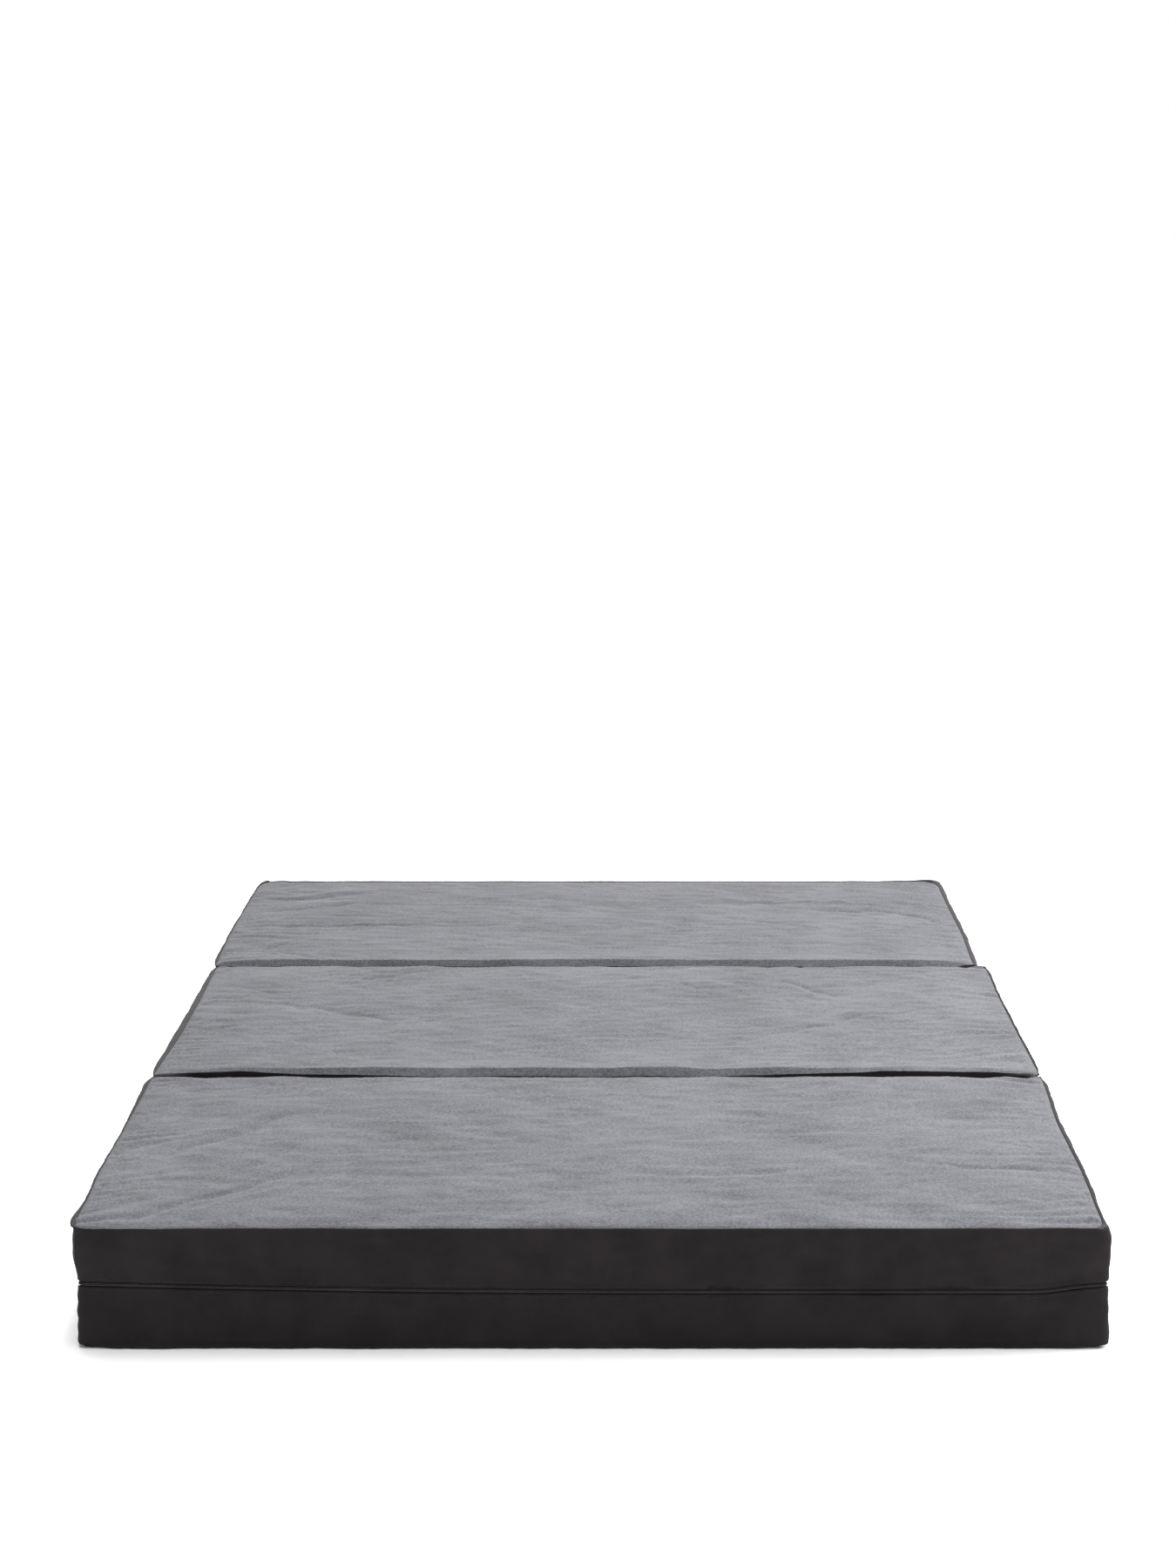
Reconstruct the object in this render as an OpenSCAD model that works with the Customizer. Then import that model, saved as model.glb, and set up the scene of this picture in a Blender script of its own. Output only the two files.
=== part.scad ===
// Folding memory foam mattress, lying open.
// Three equal sections stand end to end along Y. Each one is a block of two foams in a cover
// of its own, and the cover opens by a zip that goes round three of its walls at mid height.
// A fabric web at the base joins the front and middle sections, and one at the top joins the
// middle and back sections, so that the mattress folds up in a Z.
// The origin is on the floor under the mattress's centre. X is across, and the back is at +Y.

/* [Mattress] */
// Width across the mattress
mattress_w = 1350; // [800:10:1800]
// Length of one section along the mattress
section_l = 631; // [500:1:760]
// Height of the closed cover, base to top
mattress_t = 160; // [130:1:220]
// Space between the facing walls of two sections
fold_gap = 3.5; // [3:0.5:8]
// Radius of a section's upright corners
corner_r = 20; // [12:1:60]

/* [Foam] */
// Thickness of the memory foam layer
memory_t = 50; // [25:1:60]
// Space left between the foam and the inside of a zip slider
foam_slack = 0.5; // [0.3:0.1:3]

/* [Cover] */
// Thickness of the cover's cloth
cover_t = 1.5; // [0.8:0.1:2.5]
// Height of a hinge web
web_h = 12; // [6:1:30]
// Space between a hinge web and the wall that folds away from it
web_clear = 0.5; // [0.3:0.1:1]

/* [Zip] */
// Height of the zip's centre line above the floor
zip_z = 76; // [60:1:90]
// Height of the slot between the two borders
zip_slot = 8; // [7:0.5:12]
// Height of one tape
tape_w = 13; // [10:0.5:18]
// Thickness of a tape
tape_t = 0.8; // [0.5:0.1:1.5]
// Height of one row of the chain
row_w = 2.2; // [1.5:0.1:2.6]
// Space between the two rows of the chain
row_gap = 1.6; // [1.2:0.1:2.2]
// How far the chain stands back from the face of the borders
chain_recess = 0.1; // [0:0.1:0.5]
// Straight wall left between the end of the tapes and the rounded corner
tape_margin = 5; // [1:1:30]
// Length of tape left past a stop
stop_margin = 2; // [1:0.5:10]
// Length of a stop
stop_l = 3; // [2:0.5:6]
// How far a stop stands out of the face of the borders
stop_proud = 0.9; // [0.6:0.1:1.2]

/* [Slider] */
// Length of a slider
slider_l = 14; // [10:1:20]
// Height of a slider
slider_w = 9; // [7:0.5:12]
// Thickness of a slider's outer and inner plates
plate_t = 1.2; // [0.8:0.1:2]
// Radius of a plate's corners
plate_r = 2; // [1:0.5:3]
// Length of the neck that joins the plates
neck_l = 4; // [2:0.5:6]
// Space all round what slides or turns
slip = 0.3; // [0.2:0.05:0.4]
// Length of the bridge that holds the pull
bridge_l = 6; // [5:0.5:9]
// Height of the bridge's bar
bridge_w = 2; // [1.5:0.5:3]
// Thickness of the bridge's bar and posts
bridge_t = 1; // [0.8:0.1:1.6]

/* [Pull] */
// Length of the pull from its pin to its tip
pull_l = 28; // [20:1:45]
// Height of the pull
pull_w = 7; // [6.5:0.5:12]
// Thickness of the pull
pull_t = 1.2; // [0.8:0.1:1.4]
// Radius of the pin that turns under the bridge
pin_r = 0.8; // [0.6:0.1:1.2]
// Height of each of the two arms between the pin and the pull's plate
arm_w = 1.2; // [0.8:0.1:2]

/* [Hidden] */
// Name, steps along Y from the middle, side that the slider is on, end that the zip goes round
SECTIONS = [
    ["front", -1, 1, -1],
    ["middle", 0, -1, -1],
    ["back", 1, 1, 1],
];
PIECES = [
    "base_foam", "memory_foam", "top_panel", "base_panel", "upper_border", "lower_border",
    "upper_zip_tape", "lower_zip_tape", "zip_chain", "zip_stops", "zip_slider", "zip_pull",
];
WEBS = ["base_hinge_web", "top_hinge_web"];

ARC = 64;
FINE_ARC = 32;

pitch = section_l + fold_gap;
wall_x = mattress_w / 2;

// Depths of the layers behind the face of a wall
tape_face = cover_t;
tape_back = tape_face + tape_t;
inner_plate_face = tape_back + slip;
inner_plate_back = inner_plate_face + plate_t;
foam_inset = inner_plate_back + foam_slack;

// Heights of the layers
foam_z = cover_t;
memory_z = mattress_t - cover_t - memory_t;
top_z = mattress_t - cover_t;
slot_low = zip_z - zip_slot / 2;
slot_high = zip_z + zip_slot / 2;
row_low = row_gap / 2;
row_high = row_low + row_w;

// Places along a straight side wall, in a section's own frame with the zip's ends at +Y
tape_end_y = section_l / 2 - corner_r - tape_margin;
stop_y = tape_end_y - stop_margin - stop_l;
slider_y = stop_y - slip - slider_l / 2;

// Heights of the slider's layers above the face of the wall
outer_plate_top = slip + plate_t;
pin_x = wall_x + outer_plate_top + slip + pin_r;
bridge_under = outer_plate_top + 2 * (pin_r + slip);
bridge_top = bridge_under + bridge_t;
arm_z = bridge_w / 2 + slip;
arm_end = arm_z + arm_w;
pull_clear = norm([bridge_l / 2, bridge_top + wall_x - pin_x]) + slip;

// ---- Outlines in plan ----

// A section's outline, moved inwards by inset
module outline(inset) {
    w = mattress_w - 2 * inset;
    l = section_l - 2 * inset;
    r = corner_r - inset;
    square([w - 2 * r, l], center = true);
    square([w, l - 2 * r], center = true);
    for (x = [-1, 1], y = [-1, 1])
        translate([x * (w / 2 - r), y * (l / 2 - r)]) circle(r, $fn = ARC);
}

// The band between two depths behind the face of a section's walls
module wall_band(face, back) {
    difference() {
        outline(face);
        outline(back);
    }
}

// Everything on the zip's side of the line y = end_y
module up_to(end_y) {
    translate([-mattress_w, -section_l]) square([2 * mattress_w, section_l + end_y]);
}

// A flat layer between two heights
module layer(low, high) {
    translate([0, 0, low]) linear_extrude(high - low) children();
}

// Puts a section's piece in its place. As drawn, the slider is at +X and the zip goes round -Y.
module place(s) {
    translate([0, s[1] * pitch, 0])
        mirror([s[2] < 0 ? 1 : 0, 0, 0])
            mirror([0, s[3] > 0 ? 1 : 0, 0])
                children();
}

// ---- Foam ----

// The firm foam block at the bottom
module base_foam(s) {
    color("#e8dfae") place(s) layer(foam_z, memory_z) outline(foam_inset);
}

// The soft layer glued on top of it
module memory_foam(s) {
    color("#f3ead2") place(s) layer(memory_z, top_z) outline(foam_inset);
}

// ---- Cover ----

// The grey velour panel that is slept on
module top_panel(s) {
    color("#8e8d93") place(s) layer(top_z, mattress_t) outline(0);
}

// The black panel that lies on the floor
module base_panel(s) {
    color("#26242a") place(s) layer(0, cover_t) outline(0);
}

// The black wall above the zip, all the way round
module upper_border(s) {
    color("#2c2a2e") place(s) layer(slot_high, top_z) wall_band(0, cover_t);
}

// The black wall below the zip. Where there is no zip, it is sewn to the wall above.
module lower_border(s) {
    color("#2a282c") place(s) {
        layer(cover_t, slot_low) wall_band(0, cover_t);
        layer(slot_low, slot_high) difference() {
            wall_band(0, cover_t);
            up_to(tape_end_y);
        }
    }
}

// A web of doubled cloth in the gap between two sections. It is sewn to the section on its
// +Y side, and stands clear of the one that folds away from it.
module hinge_web(gap_y, low, high) {
    color("#3a383c") layer(low, high)
        translate([corner_r - wall_x, gap_y - fold_gap / 2 + web_clear])
            square([mattress_w - 2 * corner_r, fold_gap - web_clear]);
}

module base_hinge_web() {
    hinge_web(-pitch / 2, 0, web_h);
}

module top_hinge_web() {
    hinge_web(pitch / 2, mattress_t - web_h, mattress_t);
}

// ---- Zip ----

// One tape, round three walls behind the borders, between two heights from the centre line
module zip_tape(low, high) {
    color("#302e32") layer(zip_z + low, zip_z + high) intersection() {
        wall_band(tape_face, tape_back);
        up_to(tape_end_y);
    }
}

module upper_zip_tape(s) {
    place(s) zip_tape(row_low, row_low + tape_w);
}

module lower_zip_tape(s) {
    place(s) zip_tape(-row_low - tape_w, -row_low);
}

// The two rows of teeth, each a plain band of their outer size, sewn on the tapes' edges
module zip_chain(s) {
    color("#3c3a3e") place(s)
        for (low = [row_low, -row_high])
            layer(zip_z + low, zip_z + low + row_w) intersection() {
                wall_band(chain_recess, tape_face);
                up_to(stop_y);
            }
}

// A stop across the rows between two heights, on the side wall given by side
module zip_stop(side, low, high) {
    depth = tape_face + stop_proud;
    x = side > 0 ? wall_x - tape_face : -wall_x - stop_proud;
    translate([x, stop_y, zip_z + low]) cube([depth, stop_l, high - low]);
}

// A stop on each row where the slider rests, and one across both rows at the far end
module zip_stops(s) {
    color("#57555a") place(s) {
        zip_stop(1, row_low, row_high);
        zip_stop(1, -row_high, -row_low);
        zip_stop(-1, -row_high, row_high);
    }
}

// A plate parallel to the side wall, centred on the slider, between two heights above the wall
module side_plate(low, high, l, w, r) {
    translate([wall_x + low, slider_y, zip_z])
        rotate([90, 0, 90])
            linear_extrude(high - low) {
                square([l - 2 * r, w], center = true);
                square([l, w - 2 * r], center = true);
                for (y = [-1, 1], z = [-1, 1])
                    translate([y * (l / 2 - r), z * (w / 2 - r)]) circle(r, $fn = FINE_ARC);
            }
}

// A block centred on the zip's centre line, between two heights above the side wall and two
// places along it counted from the slider's centre
module side_block(low, high, from_y, to_y, w) {
    translate([wall_x + low, slider_y + from_y, zip_z - w / 2]) cube([high - low, to_y - from_y, w]);
}

// Two plates with the chain between them, the neck that parts its rows, and the pull's bridge
module zip_slider(s) {
    color("#4a484c") place(s) {
        side_plate(slip, outer_plate_top, slider_l, slider_w, plate_r);
        side_plate(-inner_plate_back, -inner_plate_face, slider_l, slider_w, plate_r);
        side_block(-inner_plate_face, slip, slider_l / 2 - neck_l, slider_l / 2, row_gap - 2 * slip);
        side_block(outer_plate_top, bridge_top, -bridge_l / 2, bridge_t - bridge_l / 2, bridge_w);
        side_block(outer_plate_top, bridge_top, bridge_l / 2 - bridge_t, bridge_l / 2, bridge_w);
        side_block(bridge_under, bridge_top, -bridge_l / 2, bridge_l / 2, bridge_w);
    }
}

// A pin under the bridge, an arm at each side of it, and a plate with a round tip
module zip_pull(s) {
    tip_r = pull_w / 2;
    color("#525055") place(s) translate([pin_x, slider_y, zip_z]) {
        cylinder(h = 2 * arm_end, r = pin_r, center = true, $fn = FINE_ARC);
        for (low = [arm_z, -arm_end])
            translate([-pull_t / 2, -pull_clear - arm_w, low])
                cube([pull_t, pull_clear + arm_w, arm_w]);
        rotate([90, 0, 90]) translate([0, 0, -pull_t / 2]) linear_extrude(pull_t) {
            translate([tip_r - pull_l, -tip_r]) square([pull_l - pull_clear - tip_r, pull_w]);
            translate([tip_r - pull_l, 0]) circle(tip_r, $fn = FINE_ARC);
        }
    }
}

for (s = SECTIONS) {
    base_foam(s);
    memory_foam(s);
    top_panel(s);
    base_panel(s);
    upper_border(s);
    lower_border(s);
    upper_zip_tape(s);
    lower_zip_tape(s);
    zip_chain(s);
    zip_stops(s);
    zip_slider(s);
    zip_pull(s);
}
base_hinge_web();
top_hinge_web();
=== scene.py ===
# %% [markdown]
# # A folding memory foam mattress
# The mattress is three foam sections in cloth covers, laid end to end and joined by cloth
# hinges so that they fold into a stack. A CAD model of it is already packed as a frame. This
# lesson builds what the eye sees around that frame: soft covers that bulge and wrinkle, zips
# with real teeth, rows of stitches, and the foam inside.

import math

import bpy
import numpy as np
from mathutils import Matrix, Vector


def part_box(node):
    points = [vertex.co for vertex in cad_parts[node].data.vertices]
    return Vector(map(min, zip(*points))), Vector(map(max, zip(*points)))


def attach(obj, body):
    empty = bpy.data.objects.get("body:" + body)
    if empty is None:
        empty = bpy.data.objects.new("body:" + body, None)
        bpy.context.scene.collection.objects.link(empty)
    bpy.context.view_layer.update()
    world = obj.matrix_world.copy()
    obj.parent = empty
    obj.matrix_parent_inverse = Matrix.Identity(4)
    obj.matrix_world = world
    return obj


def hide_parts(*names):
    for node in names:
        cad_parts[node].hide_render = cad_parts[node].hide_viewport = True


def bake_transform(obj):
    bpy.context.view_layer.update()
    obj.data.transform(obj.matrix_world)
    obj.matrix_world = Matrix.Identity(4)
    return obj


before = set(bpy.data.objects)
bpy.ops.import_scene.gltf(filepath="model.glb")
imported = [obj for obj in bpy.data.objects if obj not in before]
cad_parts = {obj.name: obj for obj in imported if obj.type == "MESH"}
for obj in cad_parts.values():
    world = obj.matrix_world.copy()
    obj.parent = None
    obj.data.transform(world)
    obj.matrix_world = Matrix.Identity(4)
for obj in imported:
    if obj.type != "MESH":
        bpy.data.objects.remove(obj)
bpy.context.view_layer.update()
print("CAD nodes:", len(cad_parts))

# %% [markdown]
# ## Measures that come from the frame
# Every place is taken from the CAD model, so that a cover lands exactly round its section.
# X runs across the mattress, Y from its front to its back, and Z up from the floor.

# %% Measures
MM = 0.001
SECTIONS = ["front", "middle", "back"]


def span(node, axis):
    """The lowest and the highest value of a CAD node along one axis."""
    low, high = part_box(node)
    return low[axis], high[axis]


HALF_W = span("front_upper_border", 0)[1]
TOP_Z = span("front_top_panel", 2)[1]
ZIP_Z = sum(span("front_zip_chain", 2)) / 2
HALF_SLOT = span("front_upper_border", 2)[0] - ZIP_Z
ENDS_Y = {name: span(name + "_upper_border", 1) for name in SECTIONS}
FRONT_Y = ENDS_Y["front"][0]

# Which end walls face another section, counted as (low end, high end)
IS_FOLD = {"front": (False, True), "middle": (True, True), "back": (True, False)}
# The end wall that the zip goes round: -1 is the low end, 1 the high end
ZIP_END = {"front": -1, "middle": -1, "back": 1}
print("half width", HALF_W, "top", TOP_Z, "zip", ZIP_Z, "ends", ENDS_Y)

# %% [markdown]
# ## Tools for making surfaces
# A cloth surface is a grid of points worked out with whole arrays. The helper below turns a
# grid into a mesh, gives it a UV map in metres that follows the cloth, and can thicken it with
# a Solidify modifier, because real cloth has two faces and an edge.

# %% Grid to mesh
def link_mesh(name, mesh):
    """Puts a mesh in the scene as an object at the origin, with smooth faces."""
    mesh.validate()
    mesh.shade_smooth()
    made = bpy.data.objects.new(name, mesh)
    bpy.context.scene.collection.objects.link(made)
    return made


def grid_faces(rows, columns, wrap_rows=False):
    """Corner numbers of the four-sided faces of a grid of rows by columns points.

    Point (i, j) has number i * columns + j. With wrap_rows the last row joins the first.
    """
    i = np.arange(rows if wrap_rows else rows - 1)[:, None]
    j = np.arange(columns - 1)[None, :]
    k = (i + 1) % rows
    corners = [i * columns + j, k * columns + j, k * columns + j + 1, i * columns + j + 1]
    return np.stack(corners, axis=-1).reshape(-1, 4)


def grid_piece(name, points, wrap_rows=False, flip=False, thickness=0.0):
    """A cloth piece from an array of points, rows by columns by 3.

    U is the length along the rows and V the length along the columns, both in metres. The
    thickness goes inwards, away from the side that the faces look to.
    """
    rows, columns = points.shape[:2]
    faces = grid_faces(rows, columns, wrap_rows)
    if flip:
        faces = faces[:, ::-1]
    mesh = bpy.data.meshes.new(name)
    mesh.from_pydata(points.reshape(-1, 3), [], faces.tolist())
    middle = points[:, columns // 2]
    across = points[rows // 2]
    u = np.concatenate([[0], np.cumsum(np.linalg.norm(np.diff(middle, axis=0), axis=1))])
    v = np.concatenate([[0], np.cumsum(np.linalg.norm(np.diff(across, axis=0), axis=1))])
    uv = np.stack(np.broadcast_arrays(u[:, None], v[None, :]), axis=-1).reshape(-1, 2)
    corner = np.zeros(len(mesh.loops), dtype=np.int32)
    mesh.loops.foreach_get("vertex_index", corner)
    layer = mesh.uv_layers.new(name="cloth")
    layer.data.foreach_set("uv", uv[corner].astype(np.float32).ravel())
    made = link_mesh(name, mesh)
    if thickness:
        solid = made.modifiers.new("thickness", "SOLIDIFY")
        solid.thickness = thickness
        solid.offset = -1
        solid.use_rim = True
    return made


# %% [markdown]
# ## Random but repeatable wrinkles
# Cloth is never flat. Two kinds of relief cover most of it: long soft waves, and gathers, which
# are the tight tucks along a seam. Both start from a seed, so they come out the same each time.

# %% Waves, gathers and folds
def waves(seed, count, shortest, longest, *coords):
    """Soft random relief with a spread of 1.

    It is the sum of cosines, each with a random direction, phase and wavelength between
    shortest and longest, divided so that the spread stays 1 whatever the count.
    """
    rng = np.random.default_rng(seed)
    total = 0
    for _ in range(count):
        direction = rng.normal(size=len(coords))
        direction /= np.linalg.norm(direction)
        length = shortest * (longest / shortest) ** rng.random()
        turn = rng.uniform(0, 2 * math.pi)
        distance = sum(part * axis for part, axis in zip(direction, coords))
        total = total + np.cos(2 * math.pi * distance / length + turn)
    return total * math.sqrt(2 / count)


def gathers(seed, spacing, along, across):
    """Tucks side by side along a seam: rounded crests with sharp valleys between them.

    The height is the absolute sine of the place along the seam over the spacing, where the
    place is shifted by soft waves so that no two tucks are alike, times a slow change.
    """
    shift = 0.7 * waves(seed, 8, 3 * spacing, 12 * spacing, along)
    slant = 0.5 * waves(seed + 1, 8, 4 * spacing, 14 * spacing, along, across)
    crest = np.abs(np.sin(math.pi * (along / spacing + shift + slant))) - 0.6
    return crest * (0.55 + 0.45 * waves(seed + 2, 8, 3 * spacing, 15 * spacing, along))


# Every fold in a table is made this much deeper and narrower than its row says
FOLD_DEPTH = 1.7
FOLD_WIDTH = 0.66


def fold_lines(x, y, table):
    """Single folds, each a soft ridge or valley along a straight line.

    A row of the table is the two ends, the height and the half width, all in millimetres. The
    height falls off as a bell across the line, and to nothing at the two ends along it.
    """
    wander_x = x + 5 * MM * waves(71, 10, 0.05, 0.25, x, y)
    wander_y = y + 5 * MM * waves(72, 10, 0.05, 0.25, x, y)
    total = np.zeros_like(x)
    for x0, y0, x1, y1, height, width in np.array(table, float) * MM:
        length = math.hypot(x1 - x0, y1 - y0)
        ux, uy = (x1 - x0) / length, (y1 - y0) / length
        place = ((wander_x - x0) * ux + (wander_y - y0) * uy) / length
        off = (wander_x - x0) * uy - (wander_y - y0) * ux
        ends = np.sqrt(np.clip(4 * place * (1 - place), 0, 1))
        total += FOLD_DEPTH * height * ends * np.exp(-((off / (FOLD_WIDTH * width)) ** 2))
    return total


def smooth(t):
    """Goes from 0 to 1 as t does, with a level start and end: 3t² - 2t³."""
    t = np.clip(t, 0, 1)
    return t * t * (3 - 2 * t)


def rise(distance, reach):
    """Climbs from 0 at distance 0 towards 1, most of it within reach."""
    return 1 - np.exp(-np.maximum(distance, 0) / reach)


def through(controls, count):
    """A smooth row of count values through a few control values (Catmull-Rom).

    Between two controls it is the cubic whose slope at each one is half the step between
    that control's neighbours. The controls may be whole arrays, stacked on the first axis.
    """
    first = 2 * controls[:1] - controls[1:2]
    last = 2 * controls[-1:] - controls[-2:-1]
    padded = np.concatenate([first, controls, last])
    u = np.linspace(0, len(controls) - 1, count)
    i = np.minimum(u.astype(int), len(controls) - 2)
    f = (u - i).reshape(-1, *[1] * (controls.ndim - 1))
    a, b, c, d = padded[i], padded[i + 1], padded[i + 2], padded[i + 3]
    cubic = (2 * a - 5 * b + 4 * c - d) * f**2 + (3 * b - a - 3 * c + d) * f**3
    return 0.5 * (2 * b + (c - a) * f + cubic)


# %% [markdown]
# ## The outline of a section
# Seen from above, each layer of a section is a rectangle with rounded corners. The seam round
# the top turns its corners in a wide curve, and the walls below it turn more tightly. One
# function covers both: it bends the corner squares of a plain grid into a rounded shape.

# %% Outline
CORNER = 50 * MM
# Between these two powers a corner gives way from rounded to square
ROUNDED = 5.0
SQUARED = 18.0


def fit_outline(name, bx, by, side_off, end_off, power):
    """Bends points of a plain rectangle to a rounded outline, and moves its walls out.

    In each corner square a point keeps its direction from the square's inner corner. Its
    distance from there becomes the larger of its two shares of the square, times the radius
    of the curve |cos|^power + |sin|^power = 1 in that direction, times the corner's size plus
    the offset. The offset is side_off on the side walls and end_off on the end walls, mixed
    by the squares of the cosine and sine. As the power grows from ROUNDED to SQUARED this gives
    way to a square corner, where x takes side_off and y takes end_off, each by its own share.
    Returns x, y and the squares of the cosine and sine.
    """
    low, high = ENDS_Y[name]
    centre, half = (low + high) / 2, (high - low) / 2
    gx = np.clip((np.abs(bx) - (HALF_W - CORNER)) / CORNER, 0, 1)
    gy = np.clip((np.abs(by - centre) - (half - CORNER)) / CORNER, 0, 1)
    far = np.maximum(np.hypot(gx, gy), 1e-9)
    c, s = gx / far, gy / far
    radius = np.maximum(c**power + s**power, 1e-9) ** (-1 / power)
    reach = np.maximum(gx, gy) * radius * (CORNER + c * c * side_off + s * s * end_off)
    square = np.clip((power - ROUNDED) / (SQUARED - ROUNDED), 0, 1)
    reach_x = (1 - square) * reach * c + square * gx * (CORNER + side_off)
    reach_y = (1 - square) * reach * s + square * gy * (CORNER + end_off)
    x = np.sign(bx) * (np.minimum(np.abs(bx), HALF_W - CORNER) + reach_x)
    y = centre + np.sign(by - centre) * (np.minimum(np.abs(by - centre), half - CORNER) + reach_y)
    return x, y, c * c, s * s


def edge_places(reach, depth):
    """Distances from a wall, and drops below the top, of the last rows of a top panel.

    At a wall that faces another section, the panel turns down over the foam's edge: from the
    edge to the seam the distance falls evenly, and the drop grows as a hyperbola does, slowly
    round the edge and then evenly. At any other wall the rows only get closer.
    """
    if reach:
        share = np.linspace(-0.25, 1, 16)
        turned = np.sqrt(share**2 + EDGE_TURN**2) + share
        turned = (turned - turned[0]) / (turned[-1] - turned[0])
        return reach * (1 - share), depth * turned
    return np.array([9.0, 5.5, 3.0, 1.2, 0.0]) * MM, np.zeros(5)


# How each section's top rolls into a crease, as (reach, depth) at its (low end, high end)
FLAT = (0, 0)
# How softly the panel turns at a crease, as a share of its reach
EDGE_TURN = 0.12
ROLL = {
    "front": (FLAT, (5 * MM, 7 * MM)),
    "middle": ((13 * MM, 11 * MM), (5 * MM, 7 * MM)),
    "back": ((9 * MM, 11 * MM), FLAT),
}
# How far the walls beside a crease lean back at the top
LEAN = {"front": (0, 2 * MM), "middle": (10 * MM, 1 * MM), "back": (5 * MM, 0)}
COLUMNS = 280
ROWS = 118


def base_grid(name):
    """The plain rectangle that a section's top starts from: x and y places and drops."""
    low, high = ENDS_Y[name]
    side, _ = edge_places(*FLAT)
    inner_x = HALF_W - side[0] - 3.5 * MM
    x = np.concatenate([side[::-1] - HALF_W, np.linspace(-inner_x, inner_x, COLUMNS), HALF_W - side])
    d_low, drop_low = edge_places(*ROLL[name][0])
    d_high, drop_high = edge_places(*ROLL[name][1])
    inner = np.linspace(low + d_low[0] + 3 * MM, high - d_high[0] - 3 * MM, ROWS)
    y = np.concatenate([low + d_low[::-1], inner, high - d_high])
    flat = np.zeros(ROWS)
    drop = np.concatenate([drop_low[::-1], flat, drop_high])
    return np.meshgrid(x, y, indexing="ij") + [np.broadcast_to(drop, (len(x), len(y)))]


def rim(grid):
    """The outer points of a grid in order, once round: front wall, right, back, left."""
    return np.concatenate([grid[:-1, 0], grid[-1, :-1], grid[:0:-1, -1], grid[0, :0:-1]])


# %% [markdown]
# ## How the cover hangs on the foam
# The grey top is stretched over soft foam, so it is highest in the middle and falls towards the
# seams. The sewn seam pulls it into short tucks at the two sides, and packing has left long
# folds across it. The tables below place those folds, in millimetres from the centre
# of the mattress.

# %% Relief of the top
# How far each section's top stands up, or is pressed down, beside its (low end, high end)
EDGE_LIFT = {"front": (0, 0.8 * MM), "middle": (5.6 * MM, -1.4 * MM), "back": (5.2 * MM, 0)}
SEAM_Z = TOP_Z + 4.6 * MM
CROWN = 3.6 * MM

FOLDS = {
    "front": [
        (-470, -352, 400, -352, -1.0, 3), (-440, -352, -475, -386, 0.9, 4),
        (-690, -385, -440, -390, -1.2, 4), (-300, -419, 520, -411, 0.7, 4),
        (-430, -490, -610, -690, -2.6, 13), (-465, -490, -640, -670, 1.4, 14),
        (-425, -640, -520, -790, -2.2, 12), (-395, -725, -620, -935, -2.4, 11),
        (-360, -745, -560, -940, 1.2, 14), (460, -712, 690, -752, -2.4, 7),
        (560, -632, 690, -664, -1.4, 6), (570, -838, 690, -858, -1.8, 6),
        (690, -340, 630, -398, -1.8, 7), (80, -868, 480, -872, -0.6, 7),
        (30, -748, 330, -740, -0.8, 12), (-640, -350, -560, -420, -1.0, 7),
        (300, -610, 420, -780, -1.0, 26), (-180, -540, -90, -640, -0.9, 24),
    ],
    "middle": [
        (-470, 180, -250, 300, -1.8, 13), (-500, 215, -300, 312, 1.3, 12),
        (-268, 290, -240, 228, -1.3, 5), (-690, 92, -450, 34, -1.8, 13),
        (-480, 46, -330, -34, -2.0, 11), (-340, -30, -240, -18, -1.2, 8),
        (-690, -88, -585, -68, -2.0, 6), (-455, -112, -400, -40, -0.9, 8),
        (200, -172, 500, 36, -1.4, 6), (190, -150, 470, 40, 0.8, 9),
        (470, 4, 690, 84, -1.4, 7), (320, 205, 410, 112, -1.8, 6),
        (335, 170, 372, 112, 0.9, 5), (135, 215, 185, 132, -1.2, 6),
        (-530, -232, -260, -190, -0.8, 3), (-280, -190, 540, -190, -0.7, 2.6),
        (80, 290, 262, 306, -2.6, 5), (276, 306, 470, 290, -2.6, 5),
        (-640, 180, -520, 110, -1.2, 9), (560, 270, 640, 205, -1.3, 7),
        (590, -110, 690, -90, -1.2, 5), (90, -190, 125, -228, -0.8, 5),
    ],
    "back": [
        (-690, 770, -460, 838, -2.8, 13), (-690, 800, -440, 866, 1.6, 14),
        (-690, 676, -480, 752, -2.6, 12), (-690, 706, -500, 775, 1.4, 12),
        (-690, 585, -200, 592, -2.2, 11), (-190, 545, 650, 556, -1.0, 4),
        (400, 716, 570, 690, -2.2, 12), (550, 700, 665, 600, -2.6, 11),
        (330, 795, 560, 735, 1.6, 15), (220, 638, 392, 584, -1.4, 9),
        (-560, 481, -390, 480, 1.0, 4), (-545, 483, -620, 418, -1.8, 5),
        (-605, 415, -485, 330, -2.0, 5), (-640, 420, -540, 330, -1.6, 6),
        (160, 762, 390, 752, -1.5, 11), (-190, 700, -150, 640, -1.0, 8),
        (-60, 500, 30, 440, -0.8, 9), (600, 860, 690, 846, -1.6, 7),
    ],
}


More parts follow.
